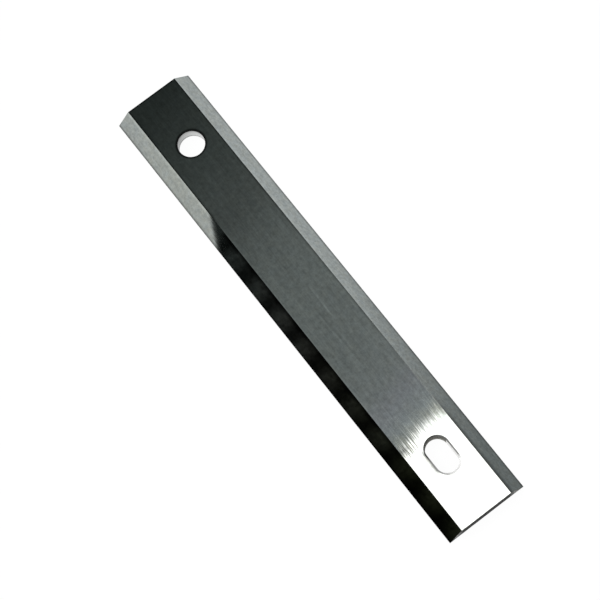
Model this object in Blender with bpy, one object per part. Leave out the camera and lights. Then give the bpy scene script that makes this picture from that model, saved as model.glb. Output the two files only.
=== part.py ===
"""Reversible planer knife.

A flat bar of tool steel with a cutting edge along each long side, so that the knife can be
turned round when one edge is dull. The back is one plain flat. A bevel rises from each cutting
edge to the narrower front face. A round hole near one end takes the fixing screw, and a slot
near the other end lets the knife be set lengthwise before its second screw is tightened.

Units are metres and +Z is up. The origin is the middle of the back face, on which the knife
lies. +X runs along the knife, from the round hole towards the slot, and +Y runs across it.
"""

import math

import bmesh
import bpy

# Bar: length over the square ends, width over the cutting edges, and thickness
KNIFE_LENGTH = 0.125
KNIFE_WIDTH = 0.0201
KNIFE_THICKNESS = 0.0032

# Cutting edges: the angle of steel between each bevel and the back face
WEDGE_ANGLE = math.radians(43.5)

# Round screw hole: its centre is measured from the -X end
HOLE_DIAMETER = 0.0064
HOLE_FROM_END = 0.0158

# Setting slot: its length is over the round ends, and its centre is measured from the +X end
SLOT_WIDTH = 0.0057
SLOT_LENGTH = 0.0092
SLOT_FROM_END = 0.0159

# Breaks of 45 degrees on the rims of the hole and of the slot: one that can be seen on the front
# face, and one on the back face that only takes the burr off
FRONT_RIM_BREAK = 0.00025
BACK_RIM_BREAK = 0.00005

# Straight facets along each half circle of an opening
FACETS_PER_HALF_TURN = 32

# How far a cutter stands out of each face that it goes through
OVERCUT = 0.0005

# Edges that turn by more than this stay crisp
CREASE_ANGLE = math.radians(25.0)

# Finish of the ground steel
STEEL_COLOUR = (0.60, 0.62, 0.61, 1.0)
STEEL_ROUGHNESS = 0.24


def clear_scene():
    """Remove every object that the file starts with."""
    for item in list(bpy.data.objects):
        bpy.data.objects.remove(item, do_unlink=True)


def ground_steel():
    """Bright steel, as surface grinding leaves it."""
    material = bpy.data.materials.new("ground_steel")
    material.use_nodes = True
    shader = material.node_tree.nodes["Principled BSDF"]
    shader.inputs["Base Color"].default_value = STEEL_COLOUR
    shader.inputs["Metallic"].default_value = 1.0
    shader.inputs["Roughness"].default_value = STEEL_ROUGHNESS
    material.diffuse_color = STEEL_COLOUR
    return material


def add_object(name, mesh_data):
    """Put a mesh into the scene as an object of the same name."""
    item = bpy.data.objects.new(name, mesh_data)
    bpy.context.scene.collection.objects.link(item)
    return item


def mesh_from(shape, name):
    """Turn a finished bmesh, with its faces made to point outwards, into mesh data."""
    bmesh.ops.recalc_face_normals(shape, faces=shape.faces)
    mesh_data = bpy.data.meshes.new(name)
    shape.to_mesh(mesh_data)
    shape.free()
    return mesh_data


def section_corners():
    """Corners of the ground section in the YZ plane: the wide back below, the front above."""
    half_back = KNIFE_WIDTH / 2
    bevel_run = KNIFE_THICKNESS / math.tan(WEDGE_ANGLE)
    half_front = half_back - bevel_run
    return [
        (-half_back, 0.0),
        (half_back, 0.0),
        (half_front, KNIFE_THICKNESS),
        (-half_front, KNIFE_THICKNESS),
    ]


def ground_bar(name):
    """The section drawn at the -X end and extruded to the +X end."""
    shape = bmesh.new()
    corners = [shape.verts.new((-KNIFE_LENGTH / 2, y, z)) for y, z in section_corners()]
    end_face = shape.faces.new(corners)
    swept = bmesh.ops.extrude_face_region(shape, geom=[end_face], use_keep_orig=True)
    moved = [item for item in swept["geom"] if isinstance(item, bmesh.types.BMVert)]
    bmesh.ops.translate(shape, verts=moved, vec=(KNIFE_LENGTH, 0.0, 0.0))
    return mesh_from(shape, name)


def opening_outline(radius, half_straight):
    """Points round an opening: a circle, or two half circles joined by straight sides."""
    last_step = FACETS_PER_HALF_TURN if half_straight > 0 else FACETS_PER_HALF_TURN - 1
    points = []
    for side, start in ((1, -math.pi / 2), (-1, math.pi / 2)):
        for step in range(last_step + 1):
            angle = start + math.pi * step / FACETS_PER_HALF_TURN
            x = side * half_straight + radius * math.cos(angle)
            points.append((x, radius * math.sin(angle)))
    return points


def opening_cutter(name, centre_x, radius, half_straight):
    """Solid that cuts one opening: a straight wall, flared where it breaks the two rims."""
    stations = [
        (-OVERCUT, radius + BACK_RIM_BREAK + OVERCUT),
        (BACK_RIM_BREAK, radius),
        (KNIFE_THICKNESS - FRONT_RIM_BREAK, radius),
        (KNIFE_THICKNESS + OVERCUT, radius + FRONT_RIM_BREAK + OVERCUT),
    ]
    shape = bmesh.new()
    rings = []
    for height, ring_radius in stations:
        outline = opening_outline(ring_radius, half_straight)
        corners = [shape.verts.new((centre_x + x, y, height)) for x, y in outline]
        following = corners[1:] + corners[:1]
        rings.append([shape.edges.new(pair) for pair in zip(corners, following)])
    for lower, upper in zip(rings, rings[1:]):
        bmesh.ops.bridge_loops(shape, edges=lower + upper)
    for rim in (rings[0], rings[-1]):
        bmesh.ops.contextual_create(shape, geom=rim)
    cutter = add_object(name, mesh_from(shape, name))
    cutter.hide_render = True
    cutter.display_type = "WIRE"
    return cutter


def cut(item, cutter):
    """Subtract a cutter from an object."""
    modifier = item.modifiers.new(cutter.name, "BOOLEAN")
    modifier.operation = "DIFFERENCE"
    modifier.solver = "EXACT"
    modifier.object = cutter


def settle(item):
    """Make the cut shape the object's own mesh, and let only its round walls shade smoothly."""
    cut_object = item.evaluated_get(bpy.context.evaluated_depsgraph_get())
    cut_mesh = bpy.data.meshes.new_from_object(cut_object)
    cut_mesh.name = item.name
    item.modifiers.clear()
    item.data = cut_mesh
    cut_mesh.shade_smooth()
    cut_mesh.set_sharp_from_angle(angle=CREASE_ANGLE)


def planer_knife():
    """The whole knife: the ground bar with its screw hole and its setting slot."""
    knife = add_object("planer_knife", ground_bar("planer_knife"))
    hole_x = HOLE_FROM_END - KNIFE_LENGTH / 2
    slot_x = KNIFE_LENGTH / 2 - SLOT_FROM_END
    slot_half_straight = (SLOT_LENGTH - SLOT_WIDTH) / 2
    cut(knife, opening_cutter("screw_hole_cutter", hole_x, HOLE_DIAMETER / 2, 0.0))
    cut(knife, opening_cutter("slot_cutter", slot_x, SLOT_WIDTH / 2, slot_half_straight))
    settle(knife)
    knife.data.materials.clear()
    knife.data.materials.append(ground_steel())
    return knife


def main():
    """Build the model from an empty scene."""
    clear_scene()
    planer_knife()


main()
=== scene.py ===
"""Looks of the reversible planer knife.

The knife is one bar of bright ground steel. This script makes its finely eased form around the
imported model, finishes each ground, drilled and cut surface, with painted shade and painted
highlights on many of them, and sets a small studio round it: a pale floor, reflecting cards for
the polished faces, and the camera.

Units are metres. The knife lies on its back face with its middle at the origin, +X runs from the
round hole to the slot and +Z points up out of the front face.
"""

from __future__ import annotations

import logging
import math
from dataclasses import dataclass, field
from enum import Enum

import bmesh
import bpy
from mathutils import Matrix, Vector


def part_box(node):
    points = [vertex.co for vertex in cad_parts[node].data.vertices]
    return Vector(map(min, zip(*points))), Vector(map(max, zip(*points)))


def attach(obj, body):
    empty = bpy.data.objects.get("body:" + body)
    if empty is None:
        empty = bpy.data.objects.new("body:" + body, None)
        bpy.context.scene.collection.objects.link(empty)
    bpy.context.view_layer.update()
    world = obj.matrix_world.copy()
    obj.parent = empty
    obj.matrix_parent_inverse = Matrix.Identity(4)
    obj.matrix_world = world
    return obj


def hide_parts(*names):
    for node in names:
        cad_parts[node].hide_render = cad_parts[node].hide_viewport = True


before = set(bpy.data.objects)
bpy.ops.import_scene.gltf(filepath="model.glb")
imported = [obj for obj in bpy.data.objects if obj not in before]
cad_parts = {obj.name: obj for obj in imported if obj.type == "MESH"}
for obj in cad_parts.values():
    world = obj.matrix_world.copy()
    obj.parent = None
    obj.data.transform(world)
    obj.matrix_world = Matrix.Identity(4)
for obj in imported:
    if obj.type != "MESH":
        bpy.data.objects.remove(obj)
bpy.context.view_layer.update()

LOG = logging.getLogger("planer_knife")

NODE = "planer_knife"
MILLIMETRE = 0.001
NOISE_MEAN = 0.5


class Surface(Enum):
    """The finished surfaces of the knife. A value is the material index that its faces carry."""

    FRONT = 0
    BEVEL = 1
    BACK = 2
    END = 3
    HOLE_WALL = 4
    SLOT_WALL = 5
    HOLE_RIM = 6
    SLOT_RIM = 7
    RIDGE = 8
    LIT_SLOT_SIDE = 9


class Lay(Enum):
    """Which way the lines of a finish run."""

    ALONG_KNIFE = "along the knife"
    ROUND_OPENING = "round the wall of an opening"
    UPRIGHT = "up and down the end"


class NodeGraph:
    """A small hand for wiring shader nodes."""

    def __init__(self, tree: bpy.types.NodeTree) -> None:
        """Work in one node tree.

        Args:
            tree: The tree that gets the nodes.
        """
        self.tree = tree

    def add(self, kind: str, inputs: dict | None = None, **settings: object) -> bpy.types.Node:
        """Add a node.

        Args:
            kind: The node's type, such as "ShaderNodeMath".
            inputs: Values or sockets for its inputs, by name or number.
            settings: Attributes of the node.

        Returns:
            The new node.
        """
        node = self.tree.nodes.new(kind)
        for name, value in settings.items():
            setattr(node, name, value)
        for name, value in (inputs or {}).items():
            self.feed(node.inputs[name], value)
        return node

    def feed(self, socket: bpy.types.NodeSocket, value: object) -> None:
        """Link a socket to an input, or set the input's own value.

        Args:
            socket: The input.
            value: A socket, or a plain value.
        """
        if isinstance(value, bpy.types.NodeSocket):
            self.tree.links.new(value, socket)
        else:
            socket.default_value = value

    def math(self, operation: str, *values: object) -> bpy.types.NodeSocket:
        """Return the result of a Math node on one, two or three values."""
        return self.add("ShaderNodeMath", dict(enumerate(values)), operation=operation).outputs[0]

    def ramp(self, value: object, stops: list[tuple[float, tuple]]) -> bpy.types.NodeSocket:
        """Run a value through a colour ramp.

        Args:
            value: The factor, from 0 to 1.
            stops: Place and linear colour of each stop, in order.

        Returns:
            The ramp's colour.
        """
        node = self.add("ShaderNodeValToRGB", {"Fac": value})
        elements = node.color_ramp.elements
        while len(elements) < len(stops):
            elements.new(1.0)
        for element, (place, colour) in zip(elements, stops):
            element.position = place
            element.color = (*colour, 1.0)
        return node.outputs["Color"]


def new_group(name: str, inputs: dict[str, str], outputs: dict[str, str]) -> bpy.types.NodeTree:
    """Start a shader group and name what goes in and what comes out.

    Args:
        name: Name of the group.
        inputs: Kind of each input, "Float" or "Vector", by name.
        outputs: Kind of each output, by name.

    Returns:
        The group's node tree, without nodes.
    """
    tree = bpy.data.node_groups.new(name, "ShaderNodeTree")
    for direction, sockets in (("INPUT", inputs), ("OUTPUT", outputs)):
        for label, kind in sockets.items():
            tree.interface.new_socket(label, in_out=direction, socket_type=f"NodeSocket{kind}")
    return tree


@dataclass(frozen=True)
class Opening:
    """A screw opening: a round hole, or a slot with round ends along the knife.

    The break of its front rim may sit off its axis along the knife, so that it is wider at one end.
    """

    centre_x: float
    centre_y: float
    width: float
    length: float
    rim_break: float = 0.25 * MILLIMETRE
    rim_shift: float = 0.0
    foot_break: float = 0.05 * MILLIMETRE
    facets_per_half_turn: int = 64

    @property
    def far_x(self) -> float:
        """Where the opening ends towards -X."""
        return self.centre_x - self.length / 2

    @property
    def near_x(self) -> float:
        """Where the opening ends towards +X."""
        return self.centre_x + self.length / 2

    @property
    def half_straight(self) -> float:
        """Half the length of the straight sides, which is zero on a round hole."""
        return (self.length - self.width) / 2

    def wall_profile(self, depth: float, overcut: float) -> list[Vector]:
        """Run of the wall from below the back face to above the front face.

        Args:
            depth: The knife's thickness.
            overcut: How far the cutter stands out of each face.

        Returns:
            Points in the XZ plane, at the outset of the wall from the opening's axis.
        """
        radius = self.width / 2
        return [
            Vector((radius + self.foot_break + overcut, 0.0, -overcut)),
            Vector((radius, 0.0, self.foot_break)),
            Vector((radius, 0.0, depth - self.rim_break)),
            Vector((radius + self.rim_break + overcut, 0.0, depth + overcut)),
        ]

    def cutter(
        self, name: str, depth: float, overcut: float = 0.5 * MILLIMETRE
    ) -> bpy.types.Object:
        """Spin and draw the wall's profile round the opening, and close it above and below.

        Args:
            name: Name for the cutter.
            depth: The knife's thickness.
            overcut: How far the cutter stands out of each face.

        Returns:
            The cutter object.
        """
        shape = bmesh.new()
        points = self.wall_profile(depth, overcut)
        corners = [shape.verts.new(point + Vector((self.half_straight, 0, 0))) for point in points]
        profile = [shape.edges.new(pair) for pair in zip(corners, corners[1:])]
        bmesh.ops.rotate(
            shape,
            verts=corners,
            cent=(self.half_straight, 0, 0),
            matrix=Matrix.Rotation(-math.pi / 2, 3, "Z"),
        )
        leading = corners + profile
        for side in (1, -1):
            turned = bmesh.ops.spin(
                shape,
                geom=leading,
                cent=(side * self.half_straight, 0, 0),
                axis=(0, 0, 1),
                angle=math.pi,
                steps=self.facets_per_half_turn,
            )
            leading = turned["geom_last"]
            if self.half_straight > 0:
                edges = [item for item in leading if isinstance(item, bmesh.types.BMEdge)]
                drawn = bmesh.ops.extrude_edge_only(shape, edges=edges)["geom"]
                moved = [item for item in drawn if isinstance(item, bmesh.types.BMVert)]
                bmesh.ops.translate(shape, verts=moved, vec=(-side * 2 * self.half_straight, 0, 0))
                leading = [item for item in drawn if not isinstance(item, bmesh.types.BMFace)]
        bmesh.ops.remove_doubles(shape, verts=shape.verts, dist=0.001 * MILLIMETRE)
        bmesh.ops.holes_fill(shape, edges=shape.edges, sides=0)
        top = [corner for corner in shape.verts if corner.co.z > depth]
        lean = self.rim_shift * (self.rim_break + overcut) / self.rim_break
        bmesh.ops.translate(shape, verts=top, vec=(lean, 0, 0))
        bmesh.ops.translate(shape, verts=shape.verts, vec=(self.centre_x, self.centre_y, 0))
        bmesh.ops.recalc_face_normals(shape, faces=shape.faces)
        return add_mesh(name, shape)


def add_mesh(name: str, shape: bmesh.types.BMesh) -> bpy.types.Object:
    """Turn a bmesh into an object in the scene.

    Args:
        name: Name for the object and its mesh.
        shape: The bmesh, which is used up.

    Returns:
        The new object, at the origin.
    """
    mesh = bpy.data.meshes.new(name)
    shape.to_mesh(mesh)
    shape.free()
    made = bpy.data.objects.new(name, mesh)
    bpy.context.scene.collection.objects.link(made)
    return made


WEDGE_ANGLE = math.radians(43.5)

SCREW_HOLE = Opening(
    centre_x=-46.72 * MILLIMETRE,
    centre_y=0.18 * MILLIMETRE,
    width=6.4 * MILLIMETRE,
    length=6.4 * MILLIMETRE,
)
SETTING_SLOT = Opening(
    centre_x=46.62 * MILLIMETRE,
    centre_y=0.29 * MILLIMETRE,
    width=5.36 * MILLIMETRE,
    length=9.0 * MILLIMETRE,
    rim_break=0.35 * MILLIMETRE,
    rim_shift=0.19 * MILLIMETRE,
)


@dataclass
class KnifeBlank:
    """The steel itself: the ground bar, its two openings and its eased edges.

    The slot's side wall, which gets a lighter copy of the slot wall's material as painted light,
    begins before the slot's middle, by the side share of half its straight length.
    """

    wedge_angle: float = WEDGE_ANGLE
    edge_round: float = 0.04 * MILLIMETRE
    round_steps: int = 3
    hole: Opening = SCREW_HOLE
    slot: Opening = SETTING_SLOT
    side_share: float = 1.1
    length: float = field(init=False)
    width: float = field(init=False)
    thickness: float = field(init=False)

    def __post_init__(self) -> None:
        """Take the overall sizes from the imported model."""
        low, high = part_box(NODE)
        self.length, self.width, self.thickness = high - low

    @property
    def half_front(self) -> float:
        """Half the width of the front face, between the bevels."""
        return self.width / 2 - self.thickness / math.tan(self.wedge_angle)

    def bar(self) -> bpy.types.Object:
        """Draw the section at one end, extrude it to the other and ease its edges.

        Returns:
            The bar, without its openings.
        """
        shape = bmesh.new()
        half_back = self.width / 2
        outline = [
            (-half_back, 0.0),
            (half_back, 0.0),
            (self.half_front, self.thickness),
            (-self.half_front, self.thickness),
        ]
        corners = [shape.verts.new((-self.length / 2, y, z)) for y, z in outline]
        end = shape.faces.new(corners)
        swept = bmesh.ops.extrude_face_region(shape, geom=[end], use_keep_orig=True)["geom"]
        moved = [item for item in swept if isinstance(item, bmesh.types.BMVert)]
        bmesh.ops.translate(shape, verts=moved, vec=(self.length, 0.0, 0.0))
        bmesh.ops.recalc_face_normals(shape, faces=shape.faces)
        upper = [edge for edge in shape.edges if self.is_upper(edge)]
        self.ease(shape, upper, self.edge_round)
        return add_mesh("knife_bar", shape)

    def is_upper(self, edge: bmesh.types.BMEdge) -> bool:
        """Tell whether an edge is a ridge of the front face, or closes an end above."""
        return max(corner.co.z for corner in edge.verts) > self.thickness / 2

    def ease(self, shape: bmesh.types.BMesh, edges: list, offset: float) -> None:
        """Round edges off.

        Args:
            shape: The bmesh.
            edges: Its edges to round.
            offset: How far the rounding starts from the edge.
        """
        bmesh.ops.bevel(
            shape,
            geom=edges,
            offset=offset,
            offset_type="OFFSET",
            segments=self.round_steps,
            profile=0.5,
            affect="EDGES",
            clamp_overlap=True,
            material=-1,
        )

    def cut_openings(self, bar: bpy.types.Object) -> None:
        """Cut the hole and the slot, and keep the result as the bar's own mesh.

        Args:
            bar: The bar to cut.
        """
        cutters = [
            self.hole.cutter("hole_cutter", self.thickness),
            self.slot.cutter("slot_cutter", self.thickness),
        ]
        for cutter in cutters:
            modifier = bar.modifiers.new(cutter.name, "BOOLEAN")
            modifier.operation = "DIFFERENCE"
            modifier.solver = "EXACT"
            modifier.object = cutter
        cut = bar.evaluated_get(bpy.context.evaluated_depsgraph_get())
        mesh = bpy.data.meshes.new_from_object(cut)
        bar.modifiers.clear()
        bar.data = mesh
        for cutter in cutters:
            bpy.data.objects.remove(cutter, do_unlink=True)

    def surface_of(self, face: bmesh.types.BMFace) -> Surface:
        """Name the surface that a face belongs to.

        Args:
            face: A face of the finished knife.

        Returns:
            The surface, from the way the face looks and where it is.
        """
        normal, centre = face.normal, face.calc_center_median()
        nearly = 0.999
        bevel_normal = Vector((0.0, math.copysign(math.sin(self.wedge_angle), normal.y),
                               math.cos(self.wedge_angle)))
        if normal.z > nearly:
            return Surface.FRONT
        if normal.z < -nearly:
            return Surface.BACK
        if normal.dot(bevel_normal) > nearly and abs(centre.y) > self.half_front:
            return Surface.BEVEL
        if abs(centre.x) > self.length / 2 - 2 * self.edge_round:
            return Surface.END
        if abs(normal.z) < 1 - nearly:
            if centre.x < 0:
                return Surface.HOLE_WALL
            # The slot's straight wall on the +Y side gets a lighter copy of the slot wall's
            # material: painted light
            past_arc = centre.x > self.slot.centre_x - self.side_share * self.slot.half_straight
            return Surface.LIT_SLOT_SIDE if past_arc and normal.y < 0 else Surface.SLOT_WALL
        if abs(centre.y) > self.half_front - 2 * self.edge_round:
            return Surface.RIDGE
        return Surface.HOLE_RIM if centre.x < 0 else Surface.SLOT_RIM

    def sort_surfaces(self, mesh: bpy.types.Mesh) -> None:
        """Give each face its surface's material index, and keep the borders between them crisp.

        Args:
            mesh: The knife's mesh.
        """
        mesh.materials.clear()
        shape = bmesh.new()
        shape.from_mesh(mesh)
        for face in shape.faces:
            face.material_index = self.surface_of(face).value
            face.smooth = True
        for edge in shape.edges:
            kinds = {face.material_index for face in edge.link_faces}
            edge.smooth = len(kinds) == 1
        shape.to_mesh(mesh)
        shape.free()

    def build(self) -> bpy.types.Object:
        """Make the finished steel.

        Returns:
            The knife, with a material index for each surface and no materials yet.
        """
        knife = self.bar()
        self.cut_openings(knife)
        knife.name = "ground_knife"
        knife.data.name = knife.name
        self.sort_surfaces(knife.data)
        return knife


class GrindingLines:
    """Shader group: the fine parallel lines that a grinding wheel leaves in steel."""

    NAME = "grinding_lines"
    SETS = ((0.4, 0.5, 7.3), (1.0, 1.0, 0.0), (2.4, 2.0, 3.1))
    WAVE_HEIGHT = 0.8
    SCRATCH_HEIGHT = 0.45
    WAVE_TONE = 0.6
    MEAN_TONE = 1.3

    def __init__(self) -> None:
        """Build the group once, for all the finishes.

        It lays long thin noise along X in three sets: broad waves, lines and short fine scratches.
        """
        inputs = {"Vector": "Vector", "Pitch": "Float", "Run": "Float"}
        self.tree = new_group(self.NAME, inputs, {"Height": "Float", "Tone": "Float"})
        graph = NodeGraph(self.tree)
        given = graph.add("NodeGroupInput").outputs
        part = graph.add("ShaderNodeSeparateXYZ", {0: given["Vector"]}).outputs
        across = graph.math("DIVIDE", part["Y"], given["Pitch"])
        along = graph.math("DIVIDE", part["X"], given["Run"])
        depth = graph.math("DIVIDE", part["Z"], given["Pitch"])
        sets = []
        for narrow, short, shift in self.SETS:
            place = graph.add(
                "ShaderNodeCombineXYZ",
                {
                    "X": graph.math("ADD", graph.math("MULTIPLY", along, short), shift),
                    "Y": graph.math("MULTIPLY", across, narrow),
                    "Z": graph.math("MULTIPLY", depth, narrow),
                },
            )
            noise = graph.add(
                "ShaderNodeTexNoise",
                {"Vector": place.outputs[0], "Scale": 1.0, "Detail": 0.0, "Roughness": 0.5},
            )
            sets.append(noise.outputs[0])
        waves, lines, scratches = sets
        height = graph.math("MULTIPLY_ADD", waves, self.WAVE_HEIGHT, lines)
        height = graph.math("MULTIPLY_ADD", scratches, self.SCRATCH_HEIGHT, height)
        toned = graph.math("MULTIPLY_ADD", waves, self.WAVE_TONE, lines)
        tone = graph.math("SUBTRACT", graph.math("ADD", toned, scratches), self.MEAN_TONE)
        graph.add("NodeGroupOutput", {"Height": height, "Tone": tone})


def end_with_nearness(graph: NodeGraph, place: object, wanted: object, reach: object) -> None:
    """Give a group its mask: 1 at the wanted place, falling to 0 over the reach.

    Args:
        graph: The group's nodes.
        place: Where the point is.
        wanted: Where the mask is 1.
        reach: How far from there the mask is 0.
    """
    aside = graph.math("ABSOLUTE", graph.math("SUBTRACT", place, wanted))
    share = graph.math("DIVIDE", aside, reach)
    mask = graph.add("ShaderNodeMath", {0: 1.0, 1: share}, operation="SUBTRACT", use_clamp=True)
    graph.add("NodeGroupOutput", {"Mask": mask.outputs[0]})


class NearPlace:
    """Shader group: how near a point is to a given height, length or width of the knife."""

    NAME = "near_place"

    def __init__(self) -> None:
        """Build the group once, for all the finishes."""
        vectors = dict.fromkeys(("Vector", "Direction"), "Vector")
        numbers = dict.fromkeys(("Offset", "Reach", "Both Sides"), "Float")
        self.tree = new_group(self.NAME, vectors | numbers, {"Mask": "Float"})
        graph = NodeGraph(self.tree)
        given = graph.add("NodeGroupInput").outputs
        along = graph.add(
            "ShaderNodeVectorMath",
            {0: given["Vector"], 1: given["Direction"]},
            operation="DOT_PRODUCT",
        ).outputs["Value"]
        folded = graph.math("SUBTRACT", graph.math("ABSOLUTE", along), along)
        place = graph.math("MULTIPLY_ADD", folded, given["Both Sides"], along)
        end_with_nearness(graph, place, given["Offset"], given["Reach"])


class NearRing:
    """Shader group: how near a point is to a circle drawn on the front face."""

    NAME = "near_ring"

    def __init__(self) -> None:
        """Build the group once, for all the finishes."""
        vectors = dict.fromkeys(("Vector", "Centre"), "Vector")
        numbers = dict.fromkeys(("Radius", "Reach"), "Float")
        self.tree = new_group(self.NAME, vectors | numbers, {"Mask": "Float"})
        graph = NodeGraph(self.tree)
        given = graph.add("NodeGroupInput").outputs
        distance = graph.add(
            "ShaderNodeVectorMath", {0: given["Vector"], 1: given["Centre"]}, operation="DISTANCE"
        ).outputs["Value"]
        end_with_nearness(graph, distance, given["Radius"], given["Reach"])


class Mottling:
    """Shader group: the uneven tone and tint that handling, oil and wear leave on steel."""

    NAME = "mottling"
    NOISES = (("Tone", 1.0, 4.0, 0.75), ("Tint", 0.6, 1.0, 0.5))

    def __init__(self) -> None:
        """Build the group once, for all the finishes."""
        inputs = {"Vector": "Vector", "Size": "Float"}
        self.tree = new_group(self.NAME, inputs, {"Tone": "Float", "Tint": "Float"})
        graph = NodeGraph(self.tree)
        given = graph.add("NodeGroupInput").outputs
        scale = graph.math("DIVIDE", 1.0, given["Size"])
        result = graph.add("NodeGroupOutput")
        for name, share, detail, roughness in self.NOISES:
            noise = graph.add(
                "ShaderNodeTexNoise",
                {
                    "Vector": given["Vector"],
                    "Scale": graph.math("MULTIPLY", scale, share),
                    "Detail": detail,
                    "Roughness": roughness,
                },
            )
            graph.feed(result.inputs[name], graph.math("SUBTRACT", noise.outputs[0], NOISE_MEAN))


class Effects:
    """The shader groups that the finishes share."""

    def __init__(self) -> None:
        """Build each group once."""
        self.lines = GrindingLines().tree
        self.near_place = NearPlace().tree
        self.near_ring = NearRing().tree
        self.mottling = Mottling().tree


LENGTHWISE = (1.0, 0.0, 0.0)
CROSSWISE = (0.0, 1.0, 0.0)
LEFTWISE = (0.0, -1.0, 0.0)
UPWARDS = (0.0, 0.0, 1.0)


@dataclass(frozen=True)
class Band:
    """A change of tone along a line on the knife, which fades out over its reach: painted shade,
    painted highlights and scratches.

    Each of its fades is a pair of places along the knife: where the band isn't seen, and where it
    is whole.
    """

    offset: float
    reach: float
    shade: float
    direction: tuple[float, float, float] = CROSSWISE
    both_sides: bool = True
    fades: tuple[tuple[float, float], ...] = ()

    def mask(self, graph: NodeGraph, place: object, effects: Effects) -> bpy.types.NodeSocket:
        """Say how strongly the band shows at a point.

        Args:
            graph: The material's nodes.
            place: The point on the knife.
            effects: The shared groups.

        Returns:
            The strength, from 0 to 1.
        """
        near = graph.add("ShaderNodeGroup", node_tree=effects.near_place)
        graph.feed(near.inputs["Vector"], place)
        graph.feed(near.inputs["Direction"], self.direction)
        graph.feed(near.inputs["Offset"], self.offset)
        graph.feed(near.inputs["Reach"], self.reach)
        graph.feed(near.inputs["Both Sides"], float(self.both_sides))
        strength = near.outputs["Mask"]
        along = graph.add("ShaderNodeSeparateXYZ", {0: place}).outputs["X"]
        for unseen, whole in self.fades:
            reached = graph.add(
                "ShaderNodeMapRange", {"Value": along, "From Min": unseen, "From Max": whole}
            )
            strength = graph.math("MULTIPLY", strength, reached.outputs[0])
        return strength


def between(*pairs: tuple[float, float]) -> tuple[tuple[float, float], ...]:
    """Return the fades of a band, from pairs of places in millimetres."""
    return tuple((unseen * MILLIMETRE, whole * MILLIMETRE) for unseen, whole in pairs)


@dataclass(frozen=True)
class Ring:
    """A painted shade round an opening, or a painted dark spot where its radius is 0; it fades out
    over its reach.
    """

    centre: tuple[float, float, float]
    radius: float
    reach: float
    shade: float

    def mask(self, graph: NodeGraph, place: object, effects: Effects) -> bpy.types.NodeSocket:
        """Say how strongly the ring shows at a point.

        Args:
            graph: The material's nodes.
            place: The point on the knife.
            effects: The shared groups.

        Returns:
            The strength, from 0 to 1.
        """
        near = graph.add("ShaderNodeGroup", node_tree=effects.near_ring)
        graph.feed(near.inputs["Vector"], place)
        graph.feed(near.inputs["Centre"], self.centre)
        graph.feed(near.inputs["Radius"], self.radius)
        graph.feed(near.inputs["Reach"], self.reach)
        return near.outputs["Mask"]


# How far a tint moves the red, the green and the blue of a finish
TINT_LEAN = (1.0, 0.2, -1.2)


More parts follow.
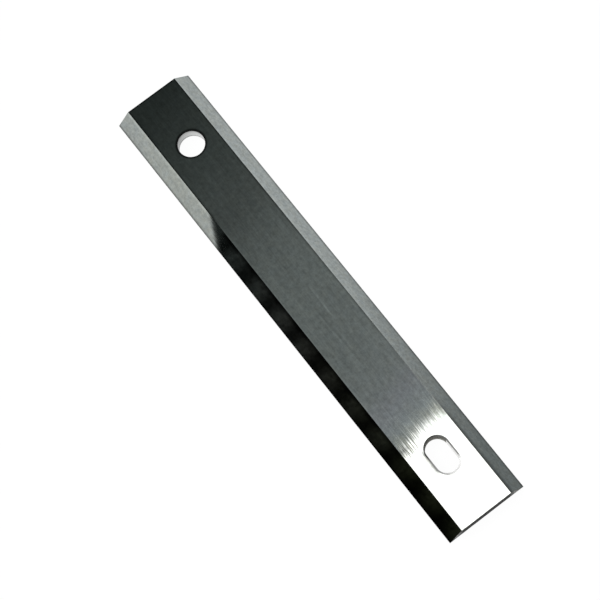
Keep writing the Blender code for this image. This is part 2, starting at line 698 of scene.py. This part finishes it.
@dataclass(frozen=True)
class SteelFinish:
    """How one surface of the steel was left, with the painted shade, painted highlights and
    scratches of its bands.
    """

    name: str
    colour: tuple[float, float, float]
    roughness: float
    line_depth: float
    line_pitch: float = 0.6 * MILLIMETRE
    line_run: float = 12 * MILLIMETRE
    lay: Lay = Lay.ALONG_KNIFE
    tone_change: float = 0.12
    shine_change: float = 0.03
    metallic: float = 1.0
    specular: float = 0.5
    mottle: float = 0.0
    mottle_size: float = 3 * MILLIMETRE
    tint: float = 0.0
    bands: tuple[Band | Ring, ...] = ()

    def lines_place(self, graph: NodeGraph, place: object) -> bpy.types.NodeSocket:
        """Turn the pattern so that its lines run the right way.

        Args:
            graph: The material's nodes.
            place: The point on the knife.

        Returns:
            The point as the group of lines takes it, with its lines along X.
        """
        part = graph.add("ShaderNodeSeparateXYZ", {0: place}).outputs
        order = {
            Lay.ALONG_KNIFE: (part["X"], part["Y"], part["Z"]),
            Lay.ROUND_OPENING: (part["Y"], part["Z"], 0.0),
            Lay.UPRIGHT: (part["Z"], part["Y"], 0.0),
        }[self.lay]
        return graph.add("ShaderNodeCombineXYZ", dict(enumerate(order))).outputs[0]

    def shaded(
        self, graph: NodeGraph, place: object, tone: object, effects: Effects
    ) -> bpy.types.NodeSocket:
        """Vary the colour with the lines, with handling, and with the painted shade, painted
        highlights and scratches of the bands.

        Args:
            graph: The material's nodes.
            place: The point on the knife.
            tone: The tone of the lines, about zero.
            effects: The shared groups.

        Returns:
            The steel's colour.
        """
        uneven = graph.add("ShaderNodeGroup", node_tree=effects.mottling)
        graph.feed(uneven.inputs["Vector"], place)
        graph.feed(uneven.inputs["Size"], self.mottle_size)
        share = graph.math("MULTIPLY_ADD", tone, self.tone_change, 1.0)
        share = graph.math("MULTIPLY_ADD", uneven.outputs["Tone"], self.mottle, share)
        for band in self.bands:
            mask = band.mask(graph, place, effects)
            change = graph.math("MULTIPLY_ADD", mask, band.shade - 1.0, 1.0)
            share = graph.math("MULTIPLY", share, change)
        shift = graph.math("MULTIPLY", uneven.outputs["Tint"], self.tint)
        parts = {
            name: graph.math("MULTIPLY", graph.math("MULTIPLY_ADD", shift, lean, part), share)
            for name, lean, part in zip("XYZ", TINT_LEAN, self.colour)
        }
        return graph.add("ShaderNodeCombineXYZ", parts).outputs[0]

    def material(self, effects: Effects) -> bpy.types.Material:
        """Make the surface's material.

        Args:
            effects: The shared groups.

        Returns:
            A steel material with this finish.
        """
        made = bpy.data.materials.new(self.name)
        made.use_nodes = True
        made.node_tree.nodes.clear()
        graph = NodeGraph(made.node_tree)
        place = graph.add("ShaderNodeTexCoord").outputs["Object"]
        ground = graph.add("ShaderNodeGroup", node_tree=effects.lines)
        graph.feed(ground.inputs["Vector"], self.lines_place(graph, place))
        graph.feed(ground.inputs["Pitch"], self.line_pitch)
        graph.feed(ground.inputs["Run"], self.line_run)
        tone = ground.outputs["Tone"]
        bump = graph.add(
            "ShaderNodeBump",
            {"Strength": 1.0, "Distance": self.line_depth, "Height": ground.outputs["Height"]},
        )
        shader = graph.add(
            "ShaderNodeBsdfPrincipled",
            {
                "Base Color": self.shaded(graph, place, tone, effects),
                "Metallic": self.metallic,
                "Specular IOR Level": self.specular,
                "Roughness": graph.math("MULTIPLY_ADD", tone, self.shine_change, self.roughness),
                "Normal": bump.outputs[0],
            },
        )
        graph.add("ShaderNodeOutputMaterial", {"Surface": shader.outputs[0]})
        return made


BRIGHT = (0.585, 0.625, 0.61)
EASED = (0.35, 0.37, 0.36)
# Near black, for the end faces, which are not metallic
END_DARK = (0.013, 0.013, 0.0125)

KNIFE_LOW, KNIFE_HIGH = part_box(NODE)
FAR_END = KNIFE_LOW[0]
KEEN_OFFSET = KNIFE_HIGH[1]
FRONT_HEIGHT = KNIFE_HIGH[2]
RIDGE_OFFSET = KEEN_OFFSET - FRONT_HEIGHT / math.tan(WEDGE_ANGLE)

# Where the walls and the rim of the openings lie, across the knife
LEFT_WALL = -3 * MILLIMETRE
RIGHT_WALL = 3.2 * MILLIMETRE
SLOT_LEFT_RIM = SETTING_SLOT.centre_y - SETTING_SLOT.width / 2 - SETTING_SLOT.rim_break

# The scratches on the front face: the direction square to each one, and where it fades
SHORT_SCRATCH = (0.0249, 0.9997, 0.0)
SHORT_FADES = between((-3.5, -0.5), (7.5, 5.5))
LONG_SCRATCH = (-0.0361, 0.9993, 0.0)
LONG_FADES = between((2.5, 5.5), (21, 17.5))

# The middle of a painted reflection beside the slot: a darker spot on the front face
REFLECTION_SPOT = (41.0 * MILLIMETRE, -5.9 * MILLIMETRE, FRONT_HEIGHT)

FINISHES: dict[Surface, SteelFinish] = {
    Surface.FRONT: SteelFinish(
        "front_ground",
        BRIGHT,
        0.045,
        0.013 * MILLIMETRE,
        line_pitch=0.7 * MILLIMETRE,
        line_run=7 * MILLIMETRE,
        tone_change=0.2,
        mottle=1.05,
        mottle_size=1.1 * MILLIMETRE,
        tint=0.03,
        bands=(
            # Painted shade along both ridges, and a painted highlight beside the left ridge
            Band(RIDGE_OFFSET, 0.5 * MILLIMETRE, 0.3, CROSSWISE, False, between((40, -20))),
            Band(RIDGE_OFFSET, 0.5 * MILLIMETRE, 0.25, LEFTWISE, False, between((-26, -29))),
            Band(
                RIDGE_OFFSET, 0.4 * MILLIMETRE, 1.25, LEFTWISE,
                False, between((-29, -24), (40, 30)),
            ),
            # Painted shade beside the slot's left rim
            Band(
                SLOT_LEFT_RIM, 0.6 * MILLIMETRE, 0.15, CROSSWISE,
                False, between((43.2, 44.4), (50.2, 48.8)),
            ),
            # Painted shade along the far end
            Band(FAR_END, 0.5 * MILLIMETRE, 0.03, LENGTHWISE, False),
            # A painted reflection: a darker spot beside the slot
            Ring(REFLECTION_SPOT, 0.0, 1.6 * MILLIMETRE, 0.3),
            Band(0.76 * MILLIMETRE, 0.35 * MILLIMETRE, 1.27, SHORT_SCRATCH, False, SHORT_FADES),
            Band(-1.36 * MILLIMETRE, 0.4 * MILLIMETRE, 0.82, LONG_SCRATCH, False, LONG_FADES),
            Band(-1.89 * MILLIMETRE, 0.35 * MILLIMETRE, 1.17, LONG_SCRATCH, False, LONG_FADES),
            # Painted shade: a dark ring round the hole's rim
            Ring(
                (SCREW_HOLE.centre_x, SCREW_HOLE.centre_y, FRONT_HEIGHT),
                SCREW_HOLE.width / 2 + SCREW_HOLE.rim_break,
                0.45 * MILLIMETRE,
                0.1,
            ),
        ),
    ),
    Surface.BEVEL: SteelFinish(
        "bevel_ground",
        BRIGHT,
        0.055,
        0.002 * MILLIMETRE,
        mottle=1.15,
        mottle_size=0.8 * MILLIMETRE,
        tint=0.045,
        bands=(
            # Painted shade along the cutting edges and beside the ridges, and painted highlights
            # beside the ridges
            Band(KEEN_OFFSET, 0.5 * MILLIMETRE, 0.35),
            Band(RIDGE_OFFSET, 0.6 * MILLIMETRE, 1.22, CROSSWISE, False, between((38, 0.0))),
            Band(RIDGE_OFFSET, 0.9 * MILLIMETRE, 0.3, CROSSWISE, False, between((34, 42))),
            Band(RIDGE_OFFSET, 0.6 * MILLIMETRE, 1.4, LEFTWISE, False, between((-26, -30))),
            Band(
                RIDGE_OFFSET, 0.9 * MILLIMETRE, 0.12, LEFTWISE,
                False, between((-26, -23), (44, 32)),
            ),
            Band(KEEN_OFFSET, 2.2 * MILLIMETRE, 0.25, LEFTWISE, False, between((8, 45))),
            Band(RIDGE_OFFSET, 1.4 * MILLIMETRE, 1.5, LEFTWISE, False, between((38, 46))),
        ),
    ),
    Surface.BACK: SteelFinish("back_ground", BRIGHT, 0.2, 0.010 * MILLIMETRE, mottle=0.1),
    Surface.END: SteelFinish(
        "end_dark",
        END_DARK,
        0.6,
        0.02 * MILLIMETRE,
        lay=Lay.UPRIGHT,
        tone_change=0.5,
        metallic=0.0,
        specular=0.15,
        # Painted light: the end faces lighter at their corners under the bevels
        bands=(Band(7.9 * MILLIMETRE, 1.6 * MILLIMETRE, 16.0),),
    ),
    Surface.HOLE_WALL: SteelFinish(
        "hole_drilled",
        (0.36, 0.365, 0.36),
        0.35,
        0.02 * MILLIMETRE,
        line_pitch=0.6 * MILLIMETRE,
        lay=Lay.ROUND_OPENING,
        tone_change=0.5,
        # Painted light and shade: lighter on the +Y side, darker on the -Y side, darker near the
        # top and near the foot, lighter in the middle
        bands=(
            Band(RIGHT_WALL, 4 * MILLIMETRE, 1.5, both_sides=False),
            Band(LEFT_WALL, 2.5 * MILLIMETRE, 0.65, both_sides=False),
            Band(2.9 * MILLIMETRE, 0.5 * MILLIMETRE, 0.7, UPWARDS, False),
            Band(1.6 * MILLIMETRE, 0.8 * MILLIMETRE, 1.2, UPWARDS, False),
            Band(0.3 * MILLIMETRE, 0.4 * MILLIMETRE, 0.6, UPWARDS, False),
        ),
    ),
    # Painted shade: a darker copy of the slot wall's material than the side wall gets, darkest on
    # the -Y side, with painted light towards the foot
    Surface.SLOT_WALL: SteelFinish(
        "slot_milled_shaded",
        (0.15, 0.15, 0.132),
        0.6,
        0.02 * MILLIMETRE,
        lay=Lay.ROUND_OPENING,
        tone_change=0.5,
        metallic=0.0,
        specular=0.05,
        bands=(
            Band(LEFT_WALL, 3.5 * MILLIMETRE, 0.05, both_sides=False),
            Band(0.0, 1.8 * MILLIMETRE, 2.0, UPWARDS, False),
        ),
    ),
    # Painted light: a lighter copy of the slot wall's material, for the straight wall on the +Y
    # side
    Surface.LIT_SLOT_SIDE: SteelFinish(
        "slot_side_milled_lit",
        (0.8, 0.8, 0.78),
        0.3,
        0.01 * MILLIMETRE,
        lay=Lay.ROUND_OPENING,
    ),
    # Painted shade: a near-black rim round the hole, not metallic
    Surface.HOLE_RIM: SteelFinish(
        "hole_rim",
        (0.006, 0.006, 0.006),
        0.5,
        0.005 * MILLIMETRE,
        metallic=0.0,
        specular=0.05,
    ),
    # Painted reflection of the white floor: a near-white rim, not metallic, with painted shade on
    # the -Y side, round the far end, on the +Y side and at the near end
    Surface.SLOT_RIM: SteelFinish(
        "slot_rim",
        (0.95, 0.95, 0.94),
        0.5,
        0.002 * MILLIMETRE,
        metallic=0.0,
        specular=0.2,
        bands=(
            Band(LEFT_WALL, 2.4 * MILLIMETRE, 0.2, both_sides=False),
            Band(LEFT_WALL, 3 * MILLIMETRE, 0.02, CROSSWISE, False, between((46.2, 44.9))),
            Band(SETTING_SLOT.far_x, 5 * MILLIMETRE, 0.01, LENGTHWISE, False),
            Band(
                RIGHT_WALL, 1.5 * MILLIMETRE, 0.2, CROSSWISE,
                False, between((42.2, 43.4), (50, 48.6)),
            ),
            Band(SETTING_SLOT.near_x, 2.5 * MILLIMETRE, 0.6, LENGTHWISE, False),
        ),
    ),
    Surface.RIDGE: SteelFinish("ridge_eased", EASED, 0.2, 0.002 * MILLIMETRE),
}


@dataclass(frozen=True)
class PhotoCamera:
    """The camera, where the photograph was taken from."""

    eye: tuple[float, float, float] = (0.13881, -0.04906, 0.43716)
    aim: tuple[float, float, float] = (-0.001252, -0.002625, 0.0015)
    roll: float = math.radians(19.427)
    lens: float = 123.22
    sensor: float = 36.0
    clip: tuple[float, float] = (0.01, 50.0)

    def place(self) -> bpy.types.Object:
        """Add the camera and make it the scene's own.

        Returns:
            The camera.
        """
        lens = bpy.data.cameras.new("photo_camera")
        lens.lens = self.lens
        lens.sensor_width = self.sensor
        lens.clip_start, lens.clip_end = self.clip
        camera = bpy.data.objects.new("photo_camera", lens)
        bpy.context.scene.collection.objects.link(camera)
        forward = Vector(self.aim) - Vector(self.eye)
        level = forward.to_track_quat("-Z", "Y").to_matrix().to_4x4()
        camera.matrix_world = (
            Matrix.Translation(self.eye) @ level @ Matrix.Rotation(-self.roll, 4, "Z")
        )
        bpy.context.scene.camera = camera
        return camera


@dataclass(frozen=True)
class Ripples:
    """Even folds in a card, which darken it at a steady pitch along the knife."""

    pitch: float
    first: float
    depth: float
    begin: float
    whole: float
    grain: float
    unevenness: float
    detail: float = 3.0
    roughness: float = 0.7

    def share(self, graph: NodeGraph, place: object, reach: object) -> bpy.types.NodeSocket:
        """Say how much light is left at a place: all of it between folds, and least in a fold.

        Args:
            graph: The card's nodes.
            place: The point on the card.
            reach: The place along the card's fade, on which the folds begin and are whole.

        Returns:
            The share of the light.
        """
        along = graph.add("ShaderNodeSeparateXYZ", {0: place}).outputs["X"]
        away = graph.math("SUBTRACT", along, self.first)
        turn = graph.math("MULTIPLY", away, math.tau / self.pitch)
        fold = graph.math("MULTIPLY_ADD", graph.math("COSINE", turn), 0.5, 0.5)
        begun = graph.add(
            "ShaderNodeMapRange", {"Value": reach, "From Min": self.begin, "From Max": self.whole}
        )
        loss = graph.math("MULTIPLY", fold, begun.outputs[0])
        left = graph.math("MULTIPLY_ADD", loss, -self.depth, 1.0)
        noise = graph.add(
            "ShaderNodeTexNoise",
            {
                "Vector": place,
                "Scale": 1 / self.grain,
                "Detail": self.detail,
                "Roughness": self.roughness,
            },
        )
        uneven = graph.math("SUBTRACT", noise.outputs[0], NOISE_MEAN)
        uneven = graph.math("MULTIPLY", uneven, begun.outputs[0])
        uneven = graph.math("MULTIPLY_ADD", uneven, self.unevenness, 1.0)
        return graph.math("MULTIPLY", left, uneven)


@dataclass(frozen=True)
class Card:
    """A card that the steel reflects and nothing else sees."""

    name: str
    corner: Vector
    side: Vector
    up: Vector
    fade: Vector
    stops: tuple[tuple[float, float, float, float], ...]
    wings: tuple[tuple[float, float], ...] = ()
    ripples: Ripples | None = None

    def place(self) -> bpy.types.Object:
        """Stand the card up and light it with its fade.

        Returns:
            The card.
        """
        shape = bmesh.new()
        bmesh.ops.create_grid(shape, x_segments=1, y_segments=1, size=0.5)
        bmesh.ops.translate(shape, verts=shape.verts, vec=(0.5, 0.5, 0.0))
        for point in shape.verts:
            point.co = self.corner + self.side * point.co.x + self.up * point.co.y
        card = add_mesh(self.name, shape)
        card.data.materials.append(self.glow())
        card.visible_camera = False
        card.visible_diffuse = False
        card.visible_transmission = False
        card.visible_shadow = False
        return card

    def glow(self) -> bpy.types.Material:
        """Make the card's light, which changes along the fade direction.

        Returns:
            An emission material.
        """
        made = bpy.data.materials.new(self.name)
        made.use_nodes = True
        made.node_tree.nodes.clear()
        graph = NodeGraph(made.node_tree)
        place = graph.add("ShaderNodeTexCoord").outputs["Object"]
        reach = graph.add("ShaderNodeVectorMath", {0: place, 1: self.fade}, operation="DOT_PRODUCT")
        top = max(max(stop[1:]) for stop in self.stops)
        stops = [(at, tuple(part / top for part in light)) for at, *light in self.stops]
        light = graph.add(
            "ShaderNodeEmission",
            {"Color": self.faded(graph, reach.outputs["Value"], stops), "Strength": top},
        )
        if self.wings:
            part = graph.add("ShaderNodeSeparateXYZ", {0: place}).outputs
            stops = [(at, (share, share, share)) for at, share in self.wings]
            share = self.faded(graph, part["Y"], stops)
            graph.feed(light.inputs["Strength"], graph.math("MULTIPLY", share, top))
        if self.ripples:
            share = self.ripples.share(graph, place, reach.outputs["Value"])
            graph.feed(light.inputs["Strength"], graph.math("MULTIPLY", share, top))
        graph.add("ShaderNodeOutputMaterial", {"Surface": light.outputs[0]})
        return made

    def faded(self, graph: NodeGraph, reach: object, stops: list) -> bpy.types.NodeSocket:
        """Run a length in metres through colour stops that are placed in millimetres.

        Args:
            graph: The card's nodes.
            reach: The length.
            stops: Place and colour of each stop, in order.

        Returns:
            The colour there.
        """
        first, last = (stops[end][0] * MILLIMETRE for end in (0, -1))
        factor = graph.add(
            "ShaderNodeMapRange", {"Value": reach, "From Min": first, "From Max": last}
        )
        placed = [((at * MILLIMETRE - first) / (last - first), colour) for at, colour in stops]
        return graph.ramp(factor.outputs[0], placed)


WHITE = (1.0, 1.0, 1.0, 1.0)


def millimetres(*values: float) -> Vector:
    """Return a vector given in millimetres."""
    return Vector(values) * MILLIMETRE


@dataclass
class Studio:
    """Floor, cards, lamp and surroundings."""

    floor_half: float = 3.0
    floor_gap: float = 0.0001
    floor_tone: float = 0.95
    white_share: float = 0.97
    soft_tone: float = 0.9
    lamp_size: float = 0.6
    lamp_power: float = 8.0
    lamp_place: tuple[float, float, float] = (-0.4, -0.5, 0.8)

    def surroundings(self) -> None:
        """Set the pale surroundings, white where they are looked at or mirrored."""
        world = bpy.data.worlds.new("studio")
        bpy.context.scene.world = world
        world.use_nodes = True
        world.node_tree.nodes.clear()
        graph = NodeGraph(world.node_tree)
        seen = self.looked_at(graph)
        grey = (*[self.soft_tone] * 3, 1.0)
        soft = graph.add("ShaderNodeBackground", {"Color": grey, "Strength": self.soft_tone})
        white = graph.add("ShaderNodeBackground", {"Color": WHITE, "Strength": 1.0})
        both = graph.add("ShaderNodeMixShader", {0: seen, 1: soft.outputs[0], 2: white.outputs[0]})
        graph.add("ShaderNodeOutputWorld", {"Surface": both.outputs[0]})

    def looked_at(self, graph: NodeGraph) -> bpy.types.NodeSocket:
        """Return 1 for a ray from the camera, a reflection or a refraction, and otherwise 0."""
        path = graph.add("ShaderNodeLightPath").outputs
        mirrored = graph.math("MAXIMUM", path["Is Glossy Ray"], path["Is Transmission Ray"])
        return graph.math("MAXIMUM", path["Is Camera Ray"], mirrored)

    def floor(self) -> bpy.types.Object:
        """Lay the pale floor just under the knife.

        Returns:
            The floor.
        """
        shape = bmesh.new()
        bmesh.ops.create_grid(shape, x_segments=1, y_segments=1, size=self.floor_half)
        bmesh.ops.translate(shape, verts=shape.verts, vec=(0.0, 0.0, -self.floor_gap))
        floor = add_mesh("floor", shape)
        made = bpy.data.materials.new("pale_floor")
        made.use_nodes = True
        made.node_tree.nodes.clear()
        graph = NodeGraph(made.node_tree)
        pale = graph.add("ShaderNodeBsdfDiffuse", {"Color": (*[self.floor_tone] * 3, 1.0)})
        white = graph.add("ShaderNodeEmission", {"Color": WHITE, "Strength": 1.0})
        share = graph.math("MULTIPLY", self.looked_at(graph), self.white_share)
        both = graph.add("ShaderNodeMixShader", {0: share, 1: pale.outputs[0], 2: white.outputs[0]})
        graph.add("ShaderNodeOutputMaterial", {"Surface": both.outputs[0]})
        floor.data.materials.append(made)
        return floor

    def cards(self) -> list[bpy.types.Object]:
        """Stand the cards that the front face and the two bevels mirror.

        Returns:
            The cards.
        """
        overhead = Card(
            "overhead_card",
            corner=millimetres(-330, -250, 120),
            side=millimetres(500, 0, 0),
            up=millimetres(0, 500, 0),
            fade=Vector((1.0, 0.25, 0.0)),
            stops=(
                (-181.6, 0.020, 0.024, 0.023),
                (-109.6, 0.028, 0.033, 0.031),
                (-85.6, 0.058, 0.066, 0.063),
                (-67.6, 0.085, 0.093, 0.090),
                (-49.6, 0.146, 0.158, 0.155),
                (-35.6, 0.170, 0.183, 0.179),
                (-12.6, 0.188, 0.201, 0.199),
                (-1.0, 0.216, 0.228, 0.229),
                (5.0, 0.256, 0.262, 0.279),
                (11.4, 0.290, 0.308, 0.318),
                (15.0, 0.42, 0.43, 0.41),
                (17.3, 2.3, 2.2, 2.15),
                (80, 2.3, 2.2, 2.15),
                (110, 0.8, 0.8, 0.8),
                (170, 0.5, 0.5, 0.5),
            ),
            wings=((-250, 0.5), (-60, 0.6), (-25, 1.0), (40, 1.0), (65, 0.6), (250, 0.5)),
        )
        left_patch = Card(
            "left_patch_card",
            corner=millimetres(10.5, 3.5, 119),
            side=millimetres(6.6, 0, 0),
            up=millimetres(0, 3.7, 0),
            fade=Vector((1.0, 0.368, 0.0)),
            stops=((13.5, 0.31, 0.32, 0.30), (16.5, 0.45, 0.44, 0.37), (19.0, 0.58, 0.56, 0.47)),
        )
        right_patch = Card(
            "right_patch_card",
            corner=millimetres(10, 18.5, 119),
            side=millimetres(5, 0, 0),
            up=millimetres(0, 9, 0),
            fade=Vector((1.0, 0.25, 0.0)),
            stops=((14.8, 0.38, 0.39, 0.37), (17.0, 0.65, 0.64, 0.57), (18.8, 1.7, 1.7, 1.6)),
        )
        left = Card(
            "left_card",
            corner=millimetres(-260, -30, -0.1),
            side=millimetres(420, 0, 0),
            up=millimetres(0, 0, 14),
            fade=Vector((1.0, 0.0, 2.17)),
            stops=(
                (-260, 0.53, 0.535, 0.53),
                (-70, 0.53, 0.535, 0.53),
                (-40, 0.53, 0.533, 0.51),
                (-25.0, 0.53, 0.533, 0.515),
                (-23.6, 0.020, 0.024, 0.023),
                (4, 0.026, 0.027, 0.025),
                (14, 0.017, 0.017, 0.015),
                (42, 0.017, 0.018, 0.013),
                (50, 0.0095, 0.0105, 0.006),
                (160, 0.009, 0.010, 0.005),
            ),
            ripples=Ripples(
                pitch=9.31 * MILLIMETRE,
                first=-30.5 * MILLIMETRE,
                depth=0.76,
                begin=-24.5 * MILLIMETRE,
                whole=-22.5 * MILLIMETRE,
                grain=1.1 * MILLIMETRE,
                unevenness=2.6,
            ),
        )
        right_stops = (
            (-260, 0.52, 0.53, 0.53),
            (-46, 0.52, 0.53, 0.53),
            (-8, 0.475, 0.485, 0.485),
            (23, 0.30, 0.31, 0.31),
            (48, 0.20, 0.21, 0.21),
            (160, 0.16, 0.17, 0.17),
        )
        right_near = Card(
            "right_low_card",
            corner=millimetres(-260, 10.3, -0.05),
            side=millimetres(420, 0, 0),
            up=millimetres(0, 160, 0),
            fade=Vector((1.0, 0.0, 0.0)),
            stops=right_stops,
        )
        right_far = Card(
            "right_far_card",
            corner=millimetres(-260, 170, -0.05),
            side=millimetres(420, 0, 0),
            up=millimetres(0, 0, 12),
            fade=Vector((1.0, 0.0, 0.0)),
            stops=right_stops,
        )
        dusk = (
            (-330, 0.07, 0.074, 0.073),
            (-20, 0.14, 0.15, 0.148),
            (70, 0.25, 0.26, 0.258),
            (170, 0.4, 0.4, 0.4),
        )
        tent = [
            Card(
                f"{side}_tent",
                corner=millimetres(-330, place, 0),
                side=millimetres(500, 0, 0),
                up=millimetres(0, 0, 120),
                fade=Vector((1.0, 0.0, 0.0)),
                stops=dusk,
            )
            for side, place in (("left", -250), ("right", 250))
        ]
        tent.append(
            Card(
                "far_tent",
                corner=millimetres(-330, -250, 0),
                side=millimetres(0, 500, 0),
                up=millimetres(0, 0, 120),
                fade=Vector((0.0, 0.0, 1.0)),
                stops=((0, 0.05, 0.053, 0.052), (120, 0.13, 0.138, 0.136)),
            )
        )
        patches = (left_patch, right_patch)
        return [card.place() for card in (overhead, *patches, left, right_near, right_far, *tent)]

    def lamp(self) -> bpy.types.Object:
        """Hang a broad soft lamp, which the steel doesn't mirror.

        Returns:
            The lamp.
        """
        light = bpy.data.lights.new("soft_lamp", "AREA")
        light.shape = "DISK"
        light.size = self.lamp_size
        light.energy = self.lamp_power
        lamp = bpy.data.objects.new("soft_lamp", light)
        bpy.context.scene.collection.objects.link(lamp)
        lamp.location = self.lamp_place
        lamp.rotation_euler = (-lamp.location).to_track_quat("-Z", "Y").to_euler()
        lamp.visible_glossy = False
        return lamp

    def build(self) -> None:
        """Set the whole studio up."""
        self.surroundings()
        self.floor()
        self.cards()
        self.lamp()
        bpy.context.scene.view_settings.view_transform = "Standard"


@dataclass
class PlanerKnife:
    """The finished knife: its steel with a finish on every surface."""

    blank: KnifeBlank = field(default_factory=KnifeBlank)

    def dress(self, knife: bpy.types.Object) -> None:
        """Put each surface's finish on.

        Args:
            knife: The finished steel.
        """
        effects = Effects()
        for surface in Surface:
            knife.data.materials.append(FINISHES[surface].material(effects))

    def build(self) -> bpy.types.Object:
        """Make the knife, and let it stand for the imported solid.

        Returns:
            The knife.
        """
        knife = self.blank.build()
        self.dress(knife)
        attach(knife, "root")
        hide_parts(NODE)
        LOG.info("%s: %d faces", knife.name, len(knife.data.polygons))
        return knife


def main() -> None:
    """Build the knife, its studio and its camera, in that order."""
    logging.basicConfig(level=logging.INFO)
    PlanerKnife().build()
    Studio().build()
    PhotoCamera().place()


if __name__ == "__main__":
    main()
